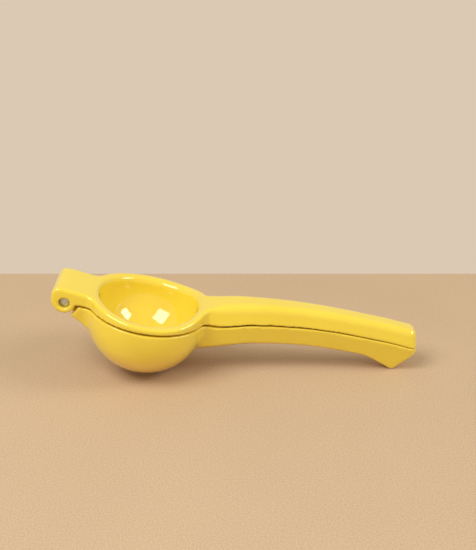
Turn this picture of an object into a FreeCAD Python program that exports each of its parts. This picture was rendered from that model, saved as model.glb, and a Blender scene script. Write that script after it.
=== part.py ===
"""Hinged lemon squeezer: two enamelled castings joined by a steel pin.

Everything is drawn in the tool's own frame, in millimetres. The bowl's centre is at the origin, the seam
between the two arms lies in the plane z = 0, the hinge is towards -X and the handles run towards +X.
At the end the closed tool is tipped about Y until the bowl and the foot both touch the table.
"""
import FreeCAD, Part
import math
import os

from FreeCAD import Vector, Rotation, Placement

# Bowl, ring and press cup
BOWL_RADIUS = 36.5        # outside of the ring and of the bowl's rim
BOWL_WALL = 3.0
BOWL_STRAIGHT = 3.8       # cylindrical part of the bowl below the seam
CUP_SPHERE_Z = 3.8        # height of the press cup's centre above the seam
CUP_GAP = 1.0             # between the press cup and the inside of the bowl at the rim
CUP_WALL = 2.8

# Seam between the arms
RING_GAP = 1.1            # open slit round the bowl when the handle ends touch
END_GAP = 0.25            # slit left at the handle ends

# Hinge
HINGE_REACH = 11.9        # from the ring's edge to the pin's axis
PIN_X = -BOWL_RADIUS - HINGE_REACH
PIN_Z = 0.7
PIN_RADIUS = 3.3
PIN_RECESS = 1.8          # each pin end lies this far inside its ear
PIN_CLEARANCE = 0.06      # radial, between the pin and the tongue's bore
HOOD_HALF_WIDTH = 15.5
HOOD_OVERHANG = 8.0       # from the pin's axis to the hood's left end
HOOD_CORNER = 4.6         # rounding of the hood's upper left corner, seen from the side
EAR_RADIUS = 6.6          # ear below and right of the pin
EAR_CLEARANCE = 1.7       # ear to the round relief in the lower arm
TONGUE_HALF_WIDTH = 6.0
TONGUE_SIDE_CLEARANCE = 0.3
TONGUE_RADIUS = 5.9
TONGUE_CLEARANCE = 0.5    # round the tongue, inside the hood
TONGUE_LEAN = 44.0        # direction from the pin in which the tongue's straight upper edge starts
TONGUE_TAIL = 275.0       # direction in which its lower edge starts
TONGUE_FOOT_Z = -0.6      # height at which the upper edge meets the lower arm
WEB_END_ANGLE = 170.0     # direction from the pin in which the hood's left wall ends
TAB_REACH = 4.9           # from the pin's axis to the start of the lower arm's underside
TAB_START_Z = -7.3
TAB_RISE = 1.0            # its underside rises by this much towards the hinge
TAB_LEAN = 0.2            # how much the sides under the hood lean in per millimetre of height
TONGUE_ROOT = 2.0         # the tongue runs down inside the bowl's wall by this much below the tab's start

# Handles
HANDLE_LENGTH = 129.6     # from the ring's edge to the handle's end, at the height of the ring's seam
HANDLE_END_X = BOWL_RADIUS + HANDLE_LENGTH
END_SLANT = 0.25          # how much the end face leans towards the ring per millimetre of height
NECK_HALF_WIDTH = 12.2    # at the seam, where the handle leaves the ring
END_HALF_WIDTH = 10.1     # at the height of the ring's seam, at the handle's end
DRAFT = 0.22              # how much each side leans in per millimetre of height
HANDLE_WALL = 2.6
HANDLE_ROOF = 3.0
HANDLE_FLOOR = 2.8
CHANNEL_START = 9.5       # from the ring's edge to the hollow in each handle
CHANNEL_END_WALL = 8.0
FOOT_END_WALL = 12.0      # the lower handle's hollow stops before the foot

# Long curves, seen from the side
HOOD_TOP = 9.8
RIM_LOW_Z = 4.0           # lowest place of the ring's upper edge
GRIP_TOP_Z = 18.9
END_TOP_Z = 15.6
SEAM_PEAK_Z = 8.3
SEAM_END_Z = 4.9
GRIP_BOTTOM_Z = -4.9
PAST_END = 3.0            # the curves run on beyond the handle's end by this much

# Foot at the end of the lower handle
FOOT_SETBACK = 12.4       # from the handle's end to the tip
FOOT_X = HANDLE_END_X - FOOT_SETBACK
FOOT_Z = -12.65
FOOT_END_Z = 3.4          # top of the straight edge that runs up to the end face
FOOT_FLAT = 0.95          # height of the small flat under the tip, above the tip's sharp corner

# Drain holes
DRAIN_RADIUS = 1.9
DRAIN_PITCH = 8.0         # from each ring of holes to the next
DRAIN_COUNTS = (1, 6, 12)   # number of holes in each ring, from the middle outwards

# Roundings
RING_ROUND = 1.6
GRIP_ROUND = 4.6
INNER_ROUND = 1.6
BELLY_ROUND = 5.0         # underside of the lower handle at the bowl
FOOT_ROUND = 1.5
PIN_CHAMFER = 0.4
NECK_FILLET = 4.0
HOOD_FILLET = 7.0         # between the ring or bowl and the sides of the hinge
END_CORNER = 5.0

REACH = 60.0              # longer than anything it is used to cut


def at(x, y, z):
    return Vector(x, y, z)


def line(a, b):
    """Straight edge in the XZ plane between two (x, z) points."""
    return Part.LineSegment(at(a[0], 0, a[1]), at(b[0], 0, b[1])).toShape()


def arc(centre, radius, start, end):
    """Arc in the XZ plane; start and end are directions in degrees."""
    points = []
    for angle in (start, (start + end) / 2, end):
        turn = math.radians(angle)
        points.append(at(centre[0] + radius * math.cos(turn), 0, centre[1] + radius * math.sin(turn)))
    return Part.Arc(*points).toShape()


def spline(points, start_slope=None, end_slope=None):
    """Smooth curve in the XZ plane through (x, z) points, with a given slope at both ends if wanted."""
    curve = Part.BSplineCurve()
    places = [at(x, 0, z) for x, z in points]
    if start_slope is None:
        curve.interpolate(places)
    else:
        curve.interpolate(Points=places, InitialTangent=at(1, 0, start_slope),
                          FinalTangent=at(1, 0, end_slope))
    return curve.toShape()


def outline(points):
    """Straight edges through a row of (x, z) points."""
    return [line(a, b) for a, b in zip(points, points[1:])]


def slab(edges, half_width=REACH):
    """Closed XZ outline, extruded equally to both sides of the tool's middle plane."""
    face = Part.Face(Part.Wire(edges))
    return face.extrude(at(0, 2 * half_width, 0)).translated(at(0, -half_width, 0))


def tall_box(x0, x1, half_width, z0, z1):
    return Part.makeBox(x1 - x0, 2 * half_width, z1 - z0, at(x0, -half_width, z0))


def across(radius, half_width):
    """Cylinder along the hinge axis."""
    return Part.makeCylinder(radius, 2 * half_width, at(PIN_X, -half_width, PIN_Z), at(0, 1, 0))


def edges_where(shape, test):
    """Edges for which the test holds, given the edge's middle point and the edge."""
    found = []
    for edge in shape.Edges:
        if edge.Degenerated:
            continue
        middle = edge.valueAt((edge.FirstParameter + edge.LastParameter) / 2)
        if test(middle, edge):
            found.append(edge)
    return found


def far_half(shape):
    """The part of a shape behind the tool's middle plane."""
    return shape.common(Part.makeBox(6 * REACH, REACH, 4 * REACH, at(-2 * REACH, 0, -2 * REACH)))


def mirrored(half):
    """A half and its mirror image as one solid."""
    return half.fuse(half.mirror(at(0, 0, 0), at(0, 1, 0))).removeSplitter()


def along(share):
    """Place on the handles: 0 at the ring's edge, 1 at the handle's end."""
    return BOWL_RADIUS + share * HANDLE_LENGTH


def end_x(z):
    """Place of the slanted end face at a given height."""
    return HANDLE_END_X - END_SLANT * z


def top_points():
    """Upper edge of the upper arm, from the hood over the ring to the handle's end."""
    hood_rise = HOOD_TOP - RIM_LOW_Z
    grip_rise = GRIP_TOP_Z - RIM_LOW_Z
    ring = [(-1.15, 0.85 * hood_rise), (-0.93, 0.65 * hood_rise), (-0.49, 0.26 * hood_rise),
            (0.22, 0.0), (0.68, 0.11 * grip_rise), (0.93, 0.34 * grip_rise)]
    grip = [(0.058, 0.58), (0.18, 0.785), (0.335, 0.93), (0.505, 1.0), (0.76, 0.96)]
    return (
        [(PIN_X - HOOD_OVERHANG + HOOD_CORNER, HOOD_TOP)]
        + [(share * BOWL_RADIUS, RIM_LOW_Z + rise) for share, rise in ring]
        + [(along(share), RIM_LOW_Z + rise * grip_rise) for share, rise in grip]
        + [(HANDLE_END_X + PAST_END, END_TOP_Z)]
    )


def seam_points(rise_at_ring, rise_at_end):
    """Curved part of the seam, raised by the given amounts at the ring and at the handle's end."""
    shares = [(0.042, 0.0), (0.073, 0.054), (0.165, 0.385), (0.296, 0.71), (0.427, 0.905), (0.604, 1.0),
              (0.781, 0.915)]
    middle = [(along(share), rise * SEAM_PEAK_Z) for share, rise in shares]
    middle.append((HANDLE_END_X + PAST_END, SEAM_END_Z))
    start = middle[0][0]
    slope = (rise_at_end - rise_at_ring) / (HANDLE_END_X - start)
    return [(x, z + rise_at_ring + slope * (x - start)) for x, z in middle]


def belly_points():
    """Underside of the lower handle, from inside the bowl to the tip of the foot."""
    neck = [(0.60 * BOWL_RADIUS, 0.48), (0.945 * BOWL_RADIUS, 0.385), (along(0.075), 0.28),
            (along(0.173), 0.175), (along(0.277), 0.102), (along(0.404), 0.037), (along(0.55), 0.0),
            (along(0.673), 0.0)]
    foot = [(0.755, 0.08), (0.824, 0.45)]
    return (
        [(x, GRIP_BOTTOM_Z - drop * BOWL_RADIUS) for x, drop in neck]
        + [(along(share), GRIP_BOTTOM_Z + drop * (FOOT_Z - GRIP_BOTTOM_Z)) for share, drop in foot]
        + [(FOOT_X, FOOT_Z)]
    )


def half_width_at(x):
    """Half width of the upper handle at height zero."""
    return NECK_HALF_WIDTH + (END_HALF_WIDTH - NECK_HALF_WIDTH) * (x - BOWL_RADIUS) / HANDLE_LENGTH


def drafted(side_points, lean, low, high, slant=0.0):
    """Block behind the middle plane whose far side moves out by lean for each millimetre of height.

    Its ends move towards the ring by slant for each millimetre of height.
    side_points gives (x, y) of the far side at height zero.
    """
    points = [at(x, y, 0) for x, y in side_points]
    if len(points) == 2:
        side = Part.LineSegment(points[0], points[1]).toShape()
    else:
        curve = Part.BSplineCurve()
        curve.interpolate(points)
        side = curve.toShape()
    corners = [points[-1], at(points[-1].x, -REACH, 0), at(points[0].x, -REACH, 0), points[0]]
    wire = Part.Wire([side] + [Part.LineSegment(a, b).toShape() for a, b in zip(corners, corners[1:])])
    rise = at(-slant, lean, 1)
    return far_half(Part.Face(wire).translated(rise * low).extrude(rise * (high - low)))


def upper_handle(x0, x1, inset=0.0):
    side = [(x0, half_width_at(x0) - inset), (x1, half_width_at(x1) - inset)]
    return drafted(side, -DRAFT, 0.0, REACH / 2, END_SLANT)


def lower_handle(x0, x1, inset=0.0):
    """The lower handle is as wide as the upper one at the seam and narrower below it."""
    seam = [p for p in seam_points(0.0, 0.0) if x0 < p[0] < x1 - 1.0]
    places = [(x0, 0.0)] + seam + [(x1, SEAM_END_Z + 0.2)]
    side = [(x, half_width_at(x) - 2 * DRAFT * z - inset) for x, z in places]
    return drafted(side, DRAFT, -REACH / 2, REACH / 4, END_SLANT)


def upper_profile():
    """Side view of the upper arm without the press cup, as a closed row of edges."""
    left = PIN_X - HOOD_OVERHANG
    under = RING_GAP / 2
    ear_end = math.degrees(math.asin((under - PIN_Z) / EAR_RADIUS))
    ear_centre = (PIN_X, PIN_Z)
    big_centre = (PIN_X, PIN_Z - EAR_RADIUS + HOOD_OVERHANG)
    ear_right = PIN_X + EAR_RADIUS * math.cos(math.radians(ear_end))
    seam = seam_points(RING_GAP / 2, END_GAP / 2)
    end = top_points()[-1]
    return [
        spline(top_points(), 0.0, -0.1),
        line(end, seam[-1]),
        spline(seam, 0.0, -0.12),
        line(seam[0], (ear_right, under)),
        arc(ear_centre, EAR_RADIUS, ear_end, -90.0),
        arc(big_centre, HOOD_OVERHANG, -90.0, -180.0),
        line((left, big_centre[1]), (left, HOOD_TOP - HOOD_CORNER)),
        arc((left + HOOD_CORNER, HOOD_TOP - HOOD_CORNER), HOOD_CORNER, 180.0, 90.0),
    ]


def upper_blank():
    """Far half of the ring, hood and upper handle, filled in, with all outer edges rounded."""
    low, high = -REACH / 4, REACH / 3
    left = PIN_X - HOOD_OVERHANG
    ring = Part.makeCylinder(BOWL_RADIUS, high - low, at(0, 0, low))
    hood = tall_box(left - 1.0, 0.0, HOOD_HALF_WIDTH, low, high)
    blank = far_half(ring.fuse(hood)).fuse(upper_handle(BOWL_RADIUS / 2, HANDLE_END_X)).removeSplitter()

    def upright(x0, x1):
        return edges_where(blank, lambda m, e: x0 < m.x < x1 and m.y > 1 and e.BoundBox.ZLength > 0.9 * high)

    blank = blank.makeFillet(NECK_FILLET, upright(0.0, along(0.1)))
    blank = blank.makeFillet(HOOD_FILLET, upright(-BOWL_RADIUS, 0.0))
    blank = blank.makeFillet(END_CORNER, upright(along(0.9), along(1.1)))
    blank = blank.common(slab(upper_profile()))
    neck = edges_where(blank, lambda m, e: 0.8 * BOWL_RADIUS < m.x < along(0.06)
                       and m.y > 0.7 * NECK_HALF_WIDTH and m.z > 0.4 * GRIP_TOP_Z)
    return blank.makeFillet(GRIP_ROUND, RING_ROUND, neck)


def tongue_edge(radius):
    """Straight upper edge that leaves a round of the given radius about the pin and runs to the lower arm."""
    turn = math.radians(TONGUE_LEAN)
    start = (PIN_X + radius * math.cos(turn), PIN_Z + radius * math.sin(turn))
    length = (start[1] - TONGUE_FOOT_Z) / math.cos(turn)
    return start, (start[0] + length * math.sin(turn), TONGUE_FOOT_Z)


def tongue_slot():
    """Room for the tongue between the ears, open from the hood's left wall round to the ring."""
    radius = TONGUE_RADIUS + TONGUE_CLEARANCE
    turn = math.radians(WEB_END_ANGLE)
    wall = [(PIN_X + r * math.cos(turn), PIN_Z + r * math.sin(turn)) for r in (radius, REACH / 3)]
    start, foot = tongue_edge(radius)
    rest = outline([start, foot, (foot[0], -REACH), (wall[1][0], -REACH), wall[1], wall[0]])
    edges = [arc((PIN_X, PIN_Z), radius, WEB_END_ANGLE, TONGUE_LEAN)] + rest
    return slab(edges, TONGUE_HALF_WIDTH + TONGUE_SIDE_CLEARANCE)


def press_cup_outside():
    radius = BOWL_RADIUS - BOWL_WALL - CUP_GAP
    ball = Part.makeSphere(radius, at(0, 0, CUP_SPHERE_Z))
    return ball.common(tall_box(-REACH, REACH, REACH, -REACH, CUP_SPHERE_Z / 2))


def press_cup_hollow():
    radius = BOWL_RADIUS - BOWL_WALL - CUP_GAP - CUP_WALL
    ball = Part.makeSphere(radius, at(0, 0, CUP_SPHERE_Z))
    return ball.fuse(Part.makeCylinder(radius, REACH / 2, at(0, 0, CUP_SPHERE_Z)))


def upper_channel():
    """Hollow of the upper handle, open towards the lower one."""
    x0, x1 = BOWL_RADIUS + CHANNEL_START, HANDLE_END_X - CHANNEL_END_WALL
    hollow = upper_handle(x0, x1, HANDLE_WALL)
    roof = [(x, z - HANDLE_ROOF) for x, z in top_points() if x > BOWL_RADIUS]
    (left, left_z), (right, right_z) = roof[0], roof[-1]
    below = slab([spline(roof), line(roof[-1], (right, -REACH)),
                  line((right, -REACH), (left, -REACH)), line((left, -REACH), roof[0])])
    return mirrored(hollow.common(below))


def upper_arm():
    """Ring with the press cup, hood with two ears, and the upper handle, as one casting."""
    arm = mirrored(upper_blank()).fuse(press_cup_outside()).cut(press_cup_hollow())
    inner = BOWL_RADIUS - BOWL_WALL - CUP_GAP - CUP_WALL
    lip = edges_where(arm, lambda m, e: abs(math.hypot(m.x, m.y) - inner) < 0.1 and e.Length > inner)
    arm = arm.makeFillet(INNER_ROUND, lip)
    return arm.cut(upper_channel()).cut(tongue_slot()).cut(across(PIN_RADIUS, REACH))


def lower_profile():
    """Side view of the lower handle with its foot, as a closed row of edges."""
    seam = seam_points(-RING_GAP / 2, -END_GAP / 2)
    belly = belly_points()
    inside = belly[0]
    end = (end_x(FOOT_END_Z), FOOT_END_Z)
    right = (seam[-1][0], FOOT_END_Z)
    return [
        line((inside[0], seam[0][1]), seam[0]),
        spline(seam, 0.0, -0.12),
        line(seam[-1], right),
        line(right, end),
        line(end, belly[-1]),
        spline(belly),
        line(inside, (inside[0], seam[0][1])),
    ]


def lower_handle_half():
    """Far half of the lower handle, filled in, with its underside rounded."""
    handle = lower_handle(belly_points()[0][0], HANDLE_END_X)
    handle = handle.makeFillet(END_CORNER, edges_where(
        handle, lambda m, e: m.x > along(0.9) and m.y > 1 and e.BoundBox.ZLength > REACH / 4))
    half = handle.common(slab(lower_profile()))
    half = half.makeFillet(FOOT_ROUND, edges_where(
        half, lambda m, e: abs(m.x - FOOT_X) < 0.1 and e.BoundBox.YLength > 2))
    belly = edges_where(half, lambda m, e: m.x > BOWL_RADIUS and m.z < 0 and m.y > 1
                        and e.Length > HANDLE_LENGTH / 2)
    return half.makeFillet(BELLY_ROUND, FOOT_ROUND, belly)


def bowl_solid(radius, top):
    """A half ball with a short straight rim, up to the given height."""
    ball = Part.makeSphere(radius, at(0, 0, -BOWL_STRAIGHT))
    ball = ball.common(tall_box(-REACH, REACH, REACH, -REACH, -BOWL_STRAIGHT))
    rim = Part.makeCylinder(radius, BOWL_STRAIGHT + top, at(0, 0, -BOWL_STRAIGHT))
    return ball.fuse(rim).removeSplitter()


def hinge_tab():
    """Far half of the block that carries the tongue, swept down into the side of the bowl."""
    top = -RING_GAP / 2
    left = PIN_X + (EAR_RADIUS + EAR_CLEARANCE) / 2
    curve = [(-0.68, -0.75), (-0.79, -0.59), (-0.87, -0.46), (-0.955, -0.367), (-1.05, -0.29)]
    low = [(x * BOWL_RADIUS, z * BOWL_RADIUS) for x, z in curve]
    low += [(PIN_X + TAB_REACH, TAB_START_Z), (left, TAB_START_Z + TAB_RISE)]
    inside = (-BOWL_RADIUS / 2, low[0][1])
    edges = [spline(low)] + outline([low[-1], (left, top), (inside[0], top), inside, low[0]])
    side = drafted([(PIN_X, HOOD_HALF_WIDTH), (0.0, HOOD_HALF_WIDTH)], TAB_LEAN, -REACH, 0.0)
    return side.common(slab(edges)).cut(across(EAR_RADIUS + EAR_CLEARANCE, REACH))


def tongue():
    """Rounded tongue between the ears, with the straight part that joins it to the lower arm."""
    start, foot = tongue_edge(TONGUE_RADIUS)
    inside = foot[0] + BOWL_WALL / 2
    turn = math.radians(TONGUE_TAIL)
    tail = (PIN_X + TONGUE_RADIUS * math.cos(turn), PIN_Z + TONGUE_RADIUS * math.sin(turn))
    tab_start = (PIN_X + TAB_REACH, TAB_START_Z)
    corners = [start, foot, (inside, foot[1]), (inside, TAB_START_Z - TONGUE_ROOT), tab_start, tail]
    edges = [arc((PIN_X, PIN_Z), TONGUE_RADIUS, TONGUE_TAIL, TONGUE_LEAN)] + outline(corners)
    return slab(edges, TONGUE_HALF_WIDTH)


def lower_channel():
    """Hollow of the lower handle, open towards the upper one."""
    x0, x1 = BOWL_RADIUS + CHANNEL_START, HANDLE_END_X - FOOT_END_WALL
    hollow = lower_handle(x0, x1, HANDLE_WALL)
    floor = [(x, z + HANDLE_FLOOR) for x, z in belly_points()]
    (left, left_z), (right, right_z) = floor[0], floor[-1]
    above = slab([spline(floor), line(floor[-1], (right, REACH)),
                  line((right, REACH), (left, REACH)), line((left, REACH), floor[0])])
    return mirrored(hollow.common(above))


def drain_holes():
    """Upright cylinders for the holes in the bowl: one in the middle and rings round it."""
    holes = []
    for ring, count in enumerate(DRAIN_COUNTS):
        ring_radius = ring * DRAIN_PITCH
        for index in range(count):
            turn = 2 * math.pi * (index + 0.5) / count
            place = at(ring_radius * math.cos(turn), ring_radius * math.sin(turn), -REACH)
            holes.append(Part.makeCylinder(DRAIN_RADIUS, REACH, place))
    return Part.makeCompound(holes)


def joined_to_bowl(half, block, side, radius):
    """The bowl's far half with a block on its left (-1) or right (1) side, their crease rounded."""
    half = half.fuse(block).removeSplitter()
    crease = edges_where(half, lambda m, e: side * m.x > BOWL_RADIUS / 2 and m.y > 0.5
                         and m.z < -RING_GAP and on_bowl(e))
    return half.makeFillet(radius, crease)


def lower_arm():
    """Bowl with its drain holes, the tongue at the hinge, and the lower handle with its foot."""
    half = far_half(bowl_solid(BOWL_RADIUS, -RING_GAP / 2))
    half = joined_to_bowl(half, hinge_tab(), -1, HOOD_FILLET)
    half = joined_to_bowl(half, lower_handle_half(), 1, NECK_FILLET)
    arm = mirrored(half).fuse(tongue()).removeSplitter()
    arm = arm.cut(bowl_solid(BOWL_RADIUS - BOWL_WALL, REACH / 3))
    return arm.cut(lower_channel()).cut(drain_holes()).cut(across(PIN_RADIUS + PIN_CLEARANCE, REACH))


def on_bowl(edge):
    """Whether an edge runs along the outside of the bowl or its straight rim."""
    for share in (0.1, 0.5, 0.9):
        spot = edge.valueAt(edge.FirstParameter + share * (edge.LastParameter - edge.FirstParameter))
        depth = min(0.0, spot.z + BOWL_STRAIGHT)
        if abs(math.hypot(math.hypot(spot.x, spot.y), depth) - BOWL_RADIUS) > 0.05:
            return False
    return True


def hinge_pin():
    """Plain steel pin, pressed into both ears and free to turn in the tongue."""
    half_length = HOOD_HALF_WIDTH - PIN_RECESS
    pin = across(PIN_RADIUS, half_length)
    rims = edges_where(pin, lambda m, e: e.Curve.TypeId == "Part::GeomCircle")
    return pin.makeChamfer(PIN_CHAMFER, rims)


def rest_angle():
    """Tilt about Y at which the bowl and the foot touch the table together, in degrees."""
    run = FOOT_X
    drop = FOOT_Z + FOOT_FLAT + BOWL_STRAIGHT
    return math.degrees(math.atan2(drop, run) + math.asin(BOWL_RADIUS / math.hypot(run, drop)))


def rest_placement(shapes):
    """Placement that tips the tool on to the table, with the box's middle over the origin."""
    tipped = Placement(at(0, 0, 0), Rotation(at(0, 1, 0), rest_angle()))
    box = Part.makeCompound([moved(shape, tipped) for shape in shapes]).optimalBoundingBox(False)
    middle = at(-(box.XMin + box.XMax) / 2, 0, BOWL_RADIUS - tipped.multVec(at(0, 0, -BOWL_STRAIGHT)).z)
    return Placement(middle, tipped.Rotation)


def moved(shape, placement):
    copy = shape.copy()
    copy.Placement = placement.multiply(copy.Placement)
    return copy


def main():
    shapes = {"upper_arm": upper_arm(), "lower_arm": lower_arm(), "hinge_pin": hinge_pin()}
    rest = rest_placement(shapes.values())
    table = Part.makeBox(8 * REACH, 4 * REACH, REACH, at(-4 * REACH, -2 * REACH, -REACH))
    os.makedirs("parts", exist_ok=True)
    for name, shape in shapes.items():
        placed = moved(shape, rest)
        if name == "lower_arm":
            placed = placed.cut(table)
        placed.exportStep("parts/" + name + ".step")


main()
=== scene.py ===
"""Hinged lemon squeezer: two enamelled castings on a steel pin, laid on a plain table."""
import math

import bmesh
import bpy
from mathutils import Matrix, Vector


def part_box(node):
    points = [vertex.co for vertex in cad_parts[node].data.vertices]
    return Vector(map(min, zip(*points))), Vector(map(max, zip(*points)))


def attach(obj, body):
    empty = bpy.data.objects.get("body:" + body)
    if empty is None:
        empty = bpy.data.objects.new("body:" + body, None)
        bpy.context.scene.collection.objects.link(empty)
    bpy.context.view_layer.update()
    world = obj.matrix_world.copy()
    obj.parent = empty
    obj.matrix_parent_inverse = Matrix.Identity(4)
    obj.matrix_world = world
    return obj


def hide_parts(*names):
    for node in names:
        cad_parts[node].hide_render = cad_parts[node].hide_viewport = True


bl_info = {
    "name": "Hinged lemon squeezer",
    "version": (1, 0, 0),
    "blender": (4, 5, 0),
    "location": "3D View > Sidebar > Squeezer",
    "description": "Dresses the packed lemon squeezer and lights it on a table",
    "category": "Add Mesh",
}

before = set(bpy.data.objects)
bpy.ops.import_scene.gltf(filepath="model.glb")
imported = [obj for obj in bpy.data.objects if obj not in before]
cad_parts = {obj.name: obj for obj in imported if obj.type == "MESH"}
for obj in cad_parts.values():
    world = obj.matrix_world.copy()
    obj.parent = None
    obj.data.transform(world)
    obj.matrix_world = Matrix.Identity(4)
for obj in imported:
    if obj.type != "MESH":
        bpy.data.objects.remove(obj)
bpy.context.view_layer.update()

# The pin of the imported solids, and how finely the shown one is turned
PIN_LOW, PIN_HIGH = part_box("hinge_pin")
PIN_MIDDLE = (PIN_LOW + PIN_HIGH) / 2
PIN_RADIUS = (PIN_HIGH.x - PIN_LOW.x) / 2
PIN_LENGTH = PIN_HIGH.y - PIN_LOW.y
PIN_SEGMENTS = 64
PIN_EDGE_STEPS = 4
PIN_DOME_STEPS = 6

# The press cup, as the closed tool lies on the table
TILT = math.radians(10.777)
CUP_AXIS = Vector((math.sin(TILT), 0.0, math.cos(TILT)))
CUP_CENTRE = Vector((-0.05318, 0.0, 0.04397))
CUP_RADIUS = 0.0297
CUP_MARGIN = 0.001

# The rounding of the cup's opening: how far it reaches down, inwards and outwards from the cup's edge
LIP_DEPTH = 0.0026
LIP_INWARD = 0.0030
LIP_OUTWARD = 0.0046

# Loose triangles of a casting are joined at this distance, and each round of smoothing goes halfway
JOIN_DISTANCE = 1e-6
SMOOTH_FACTOR = 0.5

# How much of the thick enamel's colour shows everywhere and in clouds, and how much painted shade it
# lays into creases and onto undersides
THICK_EVERYWHERE = 0.07
THICK_CLOUDS = 0.5
PAINTED_CREASE_SHADE = 0.55
PAINTED_UNDERSIDE_SHADE = 2.2
CREASE_SHADE_GAIN = 9.0
UNDERSIDE_SHADE_START = 0.3

# How much the enamel's roughness varies in clouds and in grain
GLOSS_CLOUDS = 0.05
GLOSS_GRAIN = 0.03

# Turning marks of the pin, in radians for each metre from its axis, and what darkens its steel
STEEL_RINGS = 24000.0
STEEL_CLOUDS = 0.6
STEEL_RING_TINT = 0.15
STEEL_DARK = 0.72

# Tones of the table's grain against its colour, and how strongly grain and clouds show
TABLE_PALE = 1.12
TABLE_DARK = 0.72
TABLE_GRAIN = 2.6
TABLE_CLOUDS = 0.3
TABLE_SHADE = 0.3

# Lights and camera
AIM_POINT = Vector((-0.054, 0.0, 0.04))
WINDOW_COLOUR = (1.0, 0.98, 0.945)
ROOM_COLOUR = (248, 240, 228)
CAMERA_PLACE = (0.0003, -0.51244, 0.29476)
CAMERA_DIP = 24.49


# Shader helpers

class Wire:
    """A shader socket that takes part in Python arithmetic."""

    def __init__(self, tree, socket):
        self.tree = tree
        self.socket = socket

    def math(self, operation, *others):
        node = self.tree.nodes.new("ShaderNodeMath")
        node.operation = operation
        for entry, value in zip(node.inputs, (self, *others)):
            feed(self.tree, entry, value)
        return Wire(self.tree, node.outputs[0])

    def __add__(self, other):
        return self.math("ADD", other)

    def __sub__(self, other):
        return self.math("SUBTRACT", other)

    def __mul__(self, other):
        return self.math("MULTIPLY", other)

    def clamp(self):
        return self.math("MAXIMUM", 0.0).math("MINIMUM", 1.0)


def feed(tree, entry, value):
    """Puts a number, a colour or a link on an input socket."""
    if isinstance(value, Wire):
        tree.links.new(value.socket, entry)
    elif value is not None:
        entry.default_value = value


class Shader:
    """One material's node tree, with short ways to add nodes to it."""

    def __init__(self, name):
        self.material = bpy.data.materials.new(name)
        self.material.use_nodes = True
        self.tree = self.material.node_tree
        self.tree.nodes.clear()

    def node(self, kind, **values):
        """Adds a node and sets or links its sockets, which are named with _ for a space."""
        made = self.tree.nodes.new(kind)
        for name, value in values.items():
            feed(self.tree, made.inputs[name.replace("_", " ")], value)
        return made

    def out(self, made, socket=0):
        return Wire(self.tree, made.outputs[socket])

    def place(self):
        """Object coordinates in metres."""
        return self.out(self.node("ShaderNodeTexCoord"), "Object")

    def noise(self, vector, scale, detail, roughness=0.5):
        made = self.node("ShaderNodeTexNoise", Vector=vector, Scale=scale, Detail=detail,
                         Roughness=roughness)
        return self.out(made, "Fac")

    def blend(self, factor, first, second):
        """Mixes two colours. The node's colour sockets stand after those for numbers and vectors."""
        made = self.tree.nodes.new("ShaderNodeMix")
        made.data_type = "RGBA"
        feed(self.tree, made.inputs[0], factor)
        feed(self.tree, made.inputs[6], first)
        feed(self.tree, made.inputs[7], second)
        return self.out(made, 2)

    def bump(self, height, distance, strength, under=None):
        made = self.node("ShaderNodeBump", Height=height, Distance=distance, Strength=strength,
                         Normal=under)
        return self.out(made)

    def surface(self, **values):
        body = self.node("ShaderNodeBsdfPrincipled", **values)
        self.node("ShaderNodeOutputMaterial", Surface=self.out(body))
        return self.material


def linear(colour):
    """A screen colour from 0 to 255 as the linear numbers a shader takes."""
    def one(value):
        share = value / 255.0
        return share / 12.92 if share <= 0.04045 else ((share + 0.055) / 1.055) ** 2.4
    return tuple(one(value) for value in colour) + (1.0,)


def toned(colour, factor):
    """A colour made lighter or darker, kept within what a shader takes."""
    return tuple(min(1.0, factor * part) for part in colour[:3]) + (1.0,)


# Sizes and colours that a user may change

class CastingSettings(bpy.types.PropertyGroup):
    upper_grain: bpy.props.FloatProperty(
        name="Upper mesh",
        description="Mesh size of the upper casting, which sets how soft its edges are",
        default=0.0006, min=0.0005, max=0.002, precision=5, unit="LENGTH")
    lower_grain: bpy.props.FloatProperty(
        name="Lower mesh",
        description="Mesh size of the lower casting, which sets how soft its edges are",
        default=0.00064, min=0.0005, max=0.002, precision=5, unit="LENGTH")
    smoothing: bpy.props.IntProperty(
        name="Smoothing",
        description="Rounds of smoothing over the castings",
        default=7, min=0, max=40)
    lip: bpy.props.IntProperty(
        name="Lip",
        description="Further rounds of smoothing where the ring turns down into the press cup",
        default=60, min=0, max=100)
    cup: bpy.props.IntProperty(
        name="Cup",
        description="Further rounds of smoothing over the inside of the press cup",
        default=14, min=0, max=100)
    enamel: bpy.props.FloatVectorProperty(
        name="Enamel",
        description="Colour of the enamel",
        default=linear((246, 220, 67)), min=0.0, max=1.0, size=4, subtype="COLOR")
    # Besides thicker enamel in clouds, this colour is also the painted shade in creases and on
    # undersides
    enamel_deep_and_shade: bpy.props.FloatVectorProperty(
        name="Thick enamel",
        description="Colour where the enamel has run together and lies thicker",
        default=linear((231, 187, 42)), min=0.0, max=1.0, size=4, subtype="COLOR")
    gloss: bpy.props.FloatProperty(
        name="Roughness",
        description="Roughness of the enamel",
        default=0.1, min=0.0, max=1.0, subtype="FACTOR")


class PinSettings(bpy.types.PropertyGroup):
    dome: bpy.props.FloatProperty(
        name="Dome",
        description="How far the middle of each pin end stands out",
        default=0.0009, min=0.0, max=0.0015, precision=5, unit="LENGTH")
    slack: bpy.props.FloatProperty(
        name="Slack",
        description="How far inside the solid pin's surface the shown one's lies",
        default=0.00015, min=0.0, max=0.0005, precision=5, unit="LENGTH")
    edge: bpy.props.FloatProperty(
        name="Edge",
        description="Rounding at the rim of each pin end",
        default=0.0003, min=0.0, max=0.001, precision=5, unit="LENGTH")
    steel: bpy.props.FloatVectorProperty(
        name="Steel",
        description="Colour of the pin",
        default=linear((214, 215, 213)), min=0.0, max=1.0, size=4, subtype="COLOR")


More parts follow.
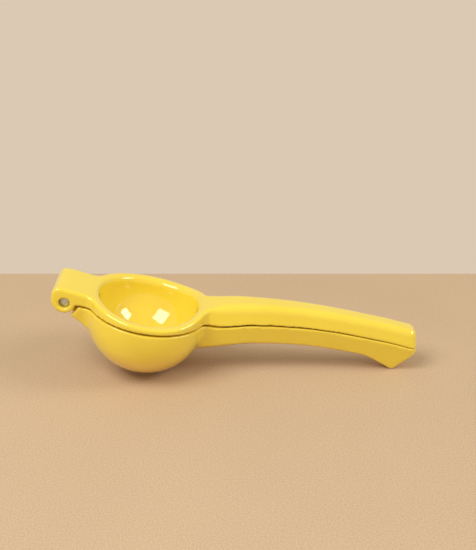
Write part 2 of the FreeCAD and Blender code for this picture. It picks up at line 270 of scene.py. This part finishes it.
class StageSettings(bpy.types.PropertyGroup):
    table: bpy.props.FloatVectorProperty(
        name="Table",
        description="Colour of the table",
        default=linear((202, 175, 142)), min=0.0, max=1.0, size=4, subtype="COLOR")
    wall: bpy.props.FloatVectorProperty(
        name="Wall",
        description="Colour of the wall behind the table",
        default=linear((219, 201, 179)), min=0.0, max=1.0, size=4, subtype="COLOR")
    table_size: bpy.props.FloatProperty(
        name="Table's size",
        description="Length of each side of the table",
        default=1.2, min=0.5, max=4.0, unit="LENGTH")
    table_end: bpy.props.FloatProperty(
        name="Table's far edge",
        description="Distance from the tool's middle to the far edge of the table",
        default=0.137, min=0.05, max=2.0, unit="LENGTH")
    key_power: bpy.props.FloatProperty(
        name="Left window",
        description="Power of the large light above on the left",
        default=7.4, min=0.0, unit="POWER")
    side_power: bpy.props.FloatProperty(
        name="Right window",
        description="Power of the light on the right",
        default=4.5, min=0.0, unit="POWER")
    fill_power: bpy.props.FloatProperty(
        name="Fill",
        description="Power of the wide, low light in front on the left",
        default=2.0, min=0.0, unit="POWER")
    air: bpy.props.FloatProperty(
        name="Room light",
        description="Strength of the light from all round",
        default=0.52, min=0.0)
    lens: bpy.props.FloatProperty(
        name="Lens",
        description="Focal length of the camera",
        default=62.18, min=10.0, max=300.0, subtype="DISTANCE_CAMERA")


# Materials

def enamel_material(settings):
    """Glossy enamel with the faint ripple and the cloudy deeper tone that a dipped coat has, and with
    shade painted into its creases and onto its undersides.
    """
    paint = Shader("yellow enamel")
    spot = paint.place()
    broad = paint.noise(spot, scale=28.0, detail=2.0)
    ripple = paint.noise(spot, scale=420.0, detail=1.0)
    fine = paint.noise(spot, scale=2600.0, detail=1.0)
    geometry = paint.node("ShaderNodeNewGeometry")
    # Painted shade: creases, where the surface curves inwards, are darkened towards the thick colour
    crease_shade = ((paint.out(geometry, "Pointiness") - 0.5) * -CREASE_SHADE_GAIN).clamp()
    facing = paint.node("ShaderNodeSeparateXYZ", Vector=paint.out(geometry, "Normal"))
    # Painted shade: faces that look downwards are darkened towards the thick colour, more the further
    # they turn down
    underside_shade = (paint.out(facing, "Z") * -1.0 - UNDERSIDE_SHADE_START).clamp()
    tone = (broad - 0.5) * THICK_CLOUDS + crease_shade * PAINTED_CREASE_SHADE + underside_shade * PAINTED_UNDERSIDE_SHADE + THICK_EVERYWHERE
    colour = paint.blend(tone.clamp(), tuple(settings.enamel), tuple(settings.enamel_deep_and_shade))
    gloss = (broad - 0.5) * GLOSS_CLOUDS + (fine - 0.5) * GLOSS_GRAIN + settings.gloss
    normal = paint.bump(ripple, distance=0.000012, strength=0.35)
    normal = paint.bump(fine, distance=0.000004, strength=0.5, under=normal)
    return paint.surface(Base_Color=colour, Roughness=gloss, Normal=normal, IOR=1.5,
                         Specular_IOR_Level=0.3, Coat_Weight=1.0, Coat_Roughness=0.02, Coat_IOR=1.55)


def enamel(settings):
    """The enamel, which both castings share."""
    return bpy.data.materials.get("yellow enamel") or enamel_material(settings)


def steel_material(settings):
    """Turned steel: rings on the cut ends, and a slightly dull grey."""
    steel = Shader("pin steel")
    spot = steel.place()
    centred = steel.out(steel.node("ShaderNodeMapping", Vector=spot, Location=tuple(-PIN_MIDDLE)))
    apart = steel.node("ShaderNodeSeparateXYZ", Vector=centred)
    across = steel.out(apart, "X")
    upward = steel.out(apart, "Z")
    radius = (across * across + upward * upward).math("SQRT")
    rings = (radius * STEEL_RINGS).math("SINE") * 0.5 + 0.5
    cloud = steel.noise(spot, scale=900.0, detail=3.0)
    share = (cloud * STEEL_CLOUDS + rings * STEEL_RING_TINT).clamp()
    tint = steel.blend(share, tuple(settings.steel), toned(settings.steel, STEEL_DARK))
    normal = steel.bump(rings + cloud, distance=0.00001, strength=0.4)
    return steel.surface(Base_Color=tint, Metallic=0.85, Roughness=cloud * 0.2 + 0.32, Normal=normal)


def table_material(settings):
    """Matt tinted board with a fine grain."""
    board = Shader("table board")
    spot = board.place()
    grain = board.noise(spot, scale=1150.0, detail=3.0, roughness=0.75)
    cloud = board.noise(spot, scale=9.0, detail=2.0)
    share = ((grain - 0.5) * TABLE_GRAIN + (cloud - 0.5) * TABLE_CLOUDS + TABLE_SHADE).clamp()
    colour = board.blend(share, toned(settings.table, TABLE_PALE), toned(settings.table, TABLE_DARK))
    normal = board.bump(grain, distance=0.0001, strength=0.4)
    return board.surface(Base_Color=colour, Roughness=0.75, Normal=normal)


# Shapes

def shown(name, mesh, body, node, material):
    """Adds a finished mesh as a piece that rides on a body and stands for a node."""
    piece = bpy.data.objects.new(name, mesh)
    bpy.context.scene.collection.objects.link(piece)
    mesh.materials.append(material)
    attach(piece, body)
    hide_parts(node)
    return piece


def soften(piece, grain, rounds):
    """Remeshes a casting evenly and rounds its edges, as a coat of enamel does."""
    remesh = piece.modifiers.new("even skin", "REMESH")
    remesh.mode = "VOXEL"
    remesh.voxel_size = grain
    remesh.use_smooth_shade = True
    smooth = piece.modifiers.new("soft edges", "SMOOTH")
    smooth.factor = SMOOTH_FACTOR
    smooth.iterations = rounds


def casting(node, name, grain, settings):
    """Copies a node's mesh, joins its loose triangles and softens it."""
    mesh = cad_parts[node].data.copy()
    mesh.name = name
    mesh.materials.clear()
    skin = bmesh.new()
    skin.from_mesh(mesh)
    bmesh.ops.remove_doubles(skin, verts=skin.verts[:], dist=JOIN_DISTANCE)
    for face in skin.faces:
        face.smooth = True
        face.material_index = 0
    skin.to_mesh(mesh)
    skin.free()
    source = bpy.data.objects.new(name + " source", mesh)
    bpy.context.scene.collection.objects.link(source)
    soften(source, grain, settings.smoothing)
    softened = source.evaluated_get(bpy.context.evaluated_depsgraph_get())
    whole = bpy.data.meshes.new_from_object(softened)
    bpy.data.objects.remove(source)
    bpy.data.meshes.remove(mesh)
    whole.name = name
    whole.materials.clear()
    return shown(name, whole, node, node, enamel(settings))


def on_lip(spot):
    """Whether a place is on the rounding between the ring's top and the inside of the press cup."""
    away = spot - CUP_CENTRE
    height = away.dot(CUP_AXIS)
    radius = (away - height * CUP_AXIS).length
    return height > -LIP_DEPTH and -LIP_INWARD < radius - CUP_RADIUS < LIP_OUTWARD


def inside_cup(spot):
    """Whether a place is on the inside of the press cup, which is half a ball with a straight top."""
    away = spot - CUP_CENTRE
    height = max(away.dot(CUP_AXIS), 0.0)
    return (away - height * CUP_AXIS).length < CUP_RADIUS + CUP_MARGIN


def smooth_some(skin, chosen, rounds):
    """Smooths the vertices whose places are chosen."""
    verts = [vert for vert in skin.verts if chosen(vert.co)]
    for _ in range(rounds):
        bmesh.ops.smooth_vert(skin, verts=verts, factor=SMOOTH_FACTOR,
                              use_axis_x=True, use_axis_y=True, use_axis_z=True)


def finish_cup(piece, lip_rounds, cup_rounds):
    """Rounds the edge of the press cup's opening and evens out the inside of the cup."""
    skin = bmesh.new()
    skin.from_mesh(piece.data)
    smooth_some(skin, on_lip, lip_rounds)
    smooth_some(skin, inside_cup, cup_rounds)
    skin.to_mesh(piece.data)
    skin.free()


def ends(shaft):
    """The pin's two end faces, the only ones with more than four sides."""
    return [face for face in shaft.faces if len(face.verts) > 4]


def pin_mesh(settings):
    """A shaft with rounded rims, whose ends rise to a low dome in rings."""
    radius = PIN_RADIUS - settings.slack
    shaft = bmesh.new()
    bmesh.ops.create_cone(shaft, cap_ends=True, segments=PIN_SEGMENTS, radius1=radius, radius2=radius,
                          depth=PIN_LENGTH - 2 * settings.dome)
    rims = [edge for face in ends(shaft) for edge in face.edges]
    bmesh.ops.bevel(shaft, geom=rims, offset=settings.edge, segments=PIN_EDGE_STEPS, profile=0.5,
                    affect="EDGES", material=-1)
    caps = ends(shaft)
    flat = radius - settings.edge
    for step in range(PIN_DOME_STEPS):
        outer = 1 - step / (PIN_DOME_STEPS + 1)
        inner = 1 - (step + 1) / (PIN_DOME_STEPS + 1)
        bmesh.ops.inset_region(shaft, faces=caps, thickness=flat * (outer - inner),
                               depth=settings.dome * (outer ** 2 - inner ** 2), use_even_offset=True)
    shaft.transform(Matrix.Translation(PIN_MIDDLE) @ Matrix.Rotation(math.radians(90.0), 4, "X"))
    bmesh.ops.recalc_face_normals(shaft, faces=shaft.faces[:])
    for face in shaft.faces:
        face.smooth = True
    mesh = bpy.data.meshes.new("pin")
    shaft.to_mesh(mesh)
    shaft.free()
    return mesh


class SQUEEZER_OT_upper_casting(bpy.types.Operator):
    """Make the ring with its press cup, the hood over the hinge and the upper handle"""
    bl_idname = "squeezer.upper_casting"
    bl_label = "Upper casting"

    def execute(self, context):
        settings = context.scene.squeezer_castings
        piece = casting("upper_arm", "upper_casting", settings.upper_grain, settings)
        finish_cup(piece, settings.lip, settings.cup)
        return {"FINISHED"}


class SQUEEZER_OT_lower_casting(bpy.types.Operator):
    """Make the bowl with its drain holes, the tongue and the lower handle"""
    bl_idname = "squeezer.lower_casting"
    bl_label = "Lower casting"

    def execute(self, context):
        settings = context.scene.squeezer_castings
        casting("lower_arm", "lower_casting", settings.lower_grain, settings)
        return {"FINISHED"}


class SQUEEZER_OT_pin(bpy.types.Operator):
    """Make the steel pin with its domed ends"""
    bl_idname = "squeezer.pin"
    bl_label = "Hinge pin"

    def execute(self, context):
        settings = context.scene.squeezer_pin
        shown("pin", pin_mesh(settings), "upper_arm", "hinge_pin", steel_material(settings))
        return {"FINISHED"}


# Stage

def lay_table(settings):
    """A square board whose far edge lies where the photograph shows the table's end."""
    half = settings.table_size / 2
    board = bmesh.new()
    bmesh.ops.create_grid(board, x_segments=1, y_segments=1, size=half)
    board.transform(Matrix.Translation((0.0, settings.table_end - half, 0.0)))
    mesh = bpy.data.meshes.new("table")
    board.to_mesh(mesh)
    board.free()
    mesh.materials.append(table_material(settings))
    table = bpy.data.objects.new("table", mesh)
    bpy.context.scene.collection.objects.link(table)


def window(name, towards, distance, size, power):
    """An area light that shines at the bowl from the given direction."""
    lamp = bpy.data.lights.new(name, "AREA")
    lamp.shape = "RECTANGLE"
    lamp.size, lamp.size_y = size
    lamp.energy = power
    lamp.color = WINDOW_COLOUR
    holder = bpy.data.objects.new(name, lamp)
    bpy.context.scene.collection.objects.link(holder)
    aim = Vector(towards).normalized()
    holder.location = AIM_POINT + aim * distance
    holder.rotation_euler = aim.to_track_quat("Z", "Y").to_euler()
    return holder


def hang_lights(settings):
    """Two windows that show in the enamel, and a low fill that does not."""
    window("left window", towards=(-0.40, -0.38, 0.83), distance=1.1, size=(0.60, 0.57),
           power=settings.key_power)
    window("right window", towards=(0.84, -0.12, 0.55), distance=1.2, size=(0.40, 0.44),
           power=settings.side_power)
    fill = window("fill", towards=(-0.55, -0.80, 0.14), distance=1.3, size=(1.0, 0.6),
                  power=settings.fill_power)
    fill.visible_glossy = False


def room(settings):
    """Even light from all round, and the wall where the camera or a reflection looks past the table."""
    world = bpy.data.worlds.new("room")
    bpy.context.scene.world = world
    world.use_nodes = True
    tree = world.node_tree
    tree.nodes.clear()
    path = tree.nodes.new("ShaderNodeLightPath")
    seen = Wire(tree, path.outputs["Is Camera Ray"])
    for ray in ("Is Glossy Ray", "Is Transmission Ray"):
        seen = seen.math("MAXIMUM", Wire(tree, path.outputs[ray]))
    glow = tree.nodes.new("ShaderNodeBackground")
    feed(tree, glow.inputs["Color"], linear(ROOM_COLOUR))
    feed(tree, glow.inputs["Strength"], settings.air)
    wall = tree.nodes.new("ShaderNodeBackground")
    feed(tree, wall.inputs["Color"], tuple(settings.wall))
    mix = tree.nodes.new("ShaderNodeMixShader")
    feed(tree, mix.inputs[0], seen)
    tree.links.new(glow.outputs[0], mix.inputs[1])
    tree.links.new(wall.outputs[0], mix.inputs[2])
    last = tree.nodes.new("ShaderNodeOutputWorld")
    tree.links.new(mix.outputs[0], last.inputs["Surface"])


def set_camera(settings):
    """The camera that was fitted to the photograph."""
    lens = bpy.data.cameras.new("camera")
    lens.lens = settings.lens
    camera = bpy.data.objects.new("camera", lens)
    bpy.context.scene.collection.objects.link(camera)
    camera.location = CAMERA_PLACE
    camera.rotation_euler = (math.radians(90.0 - CAMERA_DIP), 0.0, 0.0)
    bpy.context.scene.camera = camera


class SQUEEZER_OT_stage(bpy.types.Operator):
    """Lay the table, hang the lights and set up the camera"""
    bl_idname = "squeezer.stage"
    bl_label = "Table, lights and camera"

    def execute(self, context):
        settings = context.scene.squeezer_stage
        lay_table(settings)
        hang_lights(settings)
        room(settings)
        set_camera(settings)
        context.scene.view_settings.view_transform = "Standard"
        return {"FINISHED"}


class SQUEEZER_PT_panel(bpy.types.Panel):
    bl_idname = "SQUEEZER_PT_panel"
    bl_label = "Lemon squeezer"
    bl_space_type = "VIEW_3D"
    bl_region_type = "UI"
    bl_category = "Squeezer"

    def draw(self, context):
        groups = (
            (context.scene.squeezer_castings, ("squeezer.upper_casting", "squeezer.lower_casting")),
            (context.scene.squeezer_pin, ("squeezer.pin",)),
            (context.scene.squeezer_stage, ("squeezer.stage",)),
        )
        for settings, operators in groups:
            box = self.layout.box()
            for name in settings.__annotations__:
                box.prop(settings, name)
            for operator in operators:
                box.operator(operator)


CLASSES = (
    CastingSettings,
    PinSettings,
    StageSettings,
    SQUEEZER_OT_upper_casting,
    SQUEEZER_OT_lower_casting,
    SQUEEZER_OT_pin,
    SQUEEZER_OT_stage,
    SQUEEZER_PT_panel,
)


def register():
    for kind in CLASSES:
        bpy.utils.register_class(kind)
    bpy.types.Scene.squeezer_castings = bpy.props.PointerProperty(type=CastingSettings)
    bpy.types.Scene.squeezer_pin = bpy.props.PointerProperty(type=PinSettings)
    bpy.types.Scene.squeezer_stage = bpy.props.PointerProperty(type=StageSettings)


def unregister():
    del bpy.types.Scene.squeezer_stage
    del bpy.types.Scene.squeezer_pin
    del bpy.types.Scene.squeezer_castings
    for kind in reversed(CLASSES):
        bpy.utils.unregister_class(kind)


def main():
    register()
    bpy.ops.squeezer.upper_casting()
    bpy.ops.squeezer.lower_casting()
    bpy.ops.squeezer.pin()
    bpy.ops.squeezer.stage()


if __name__ == "__main__":
    main()
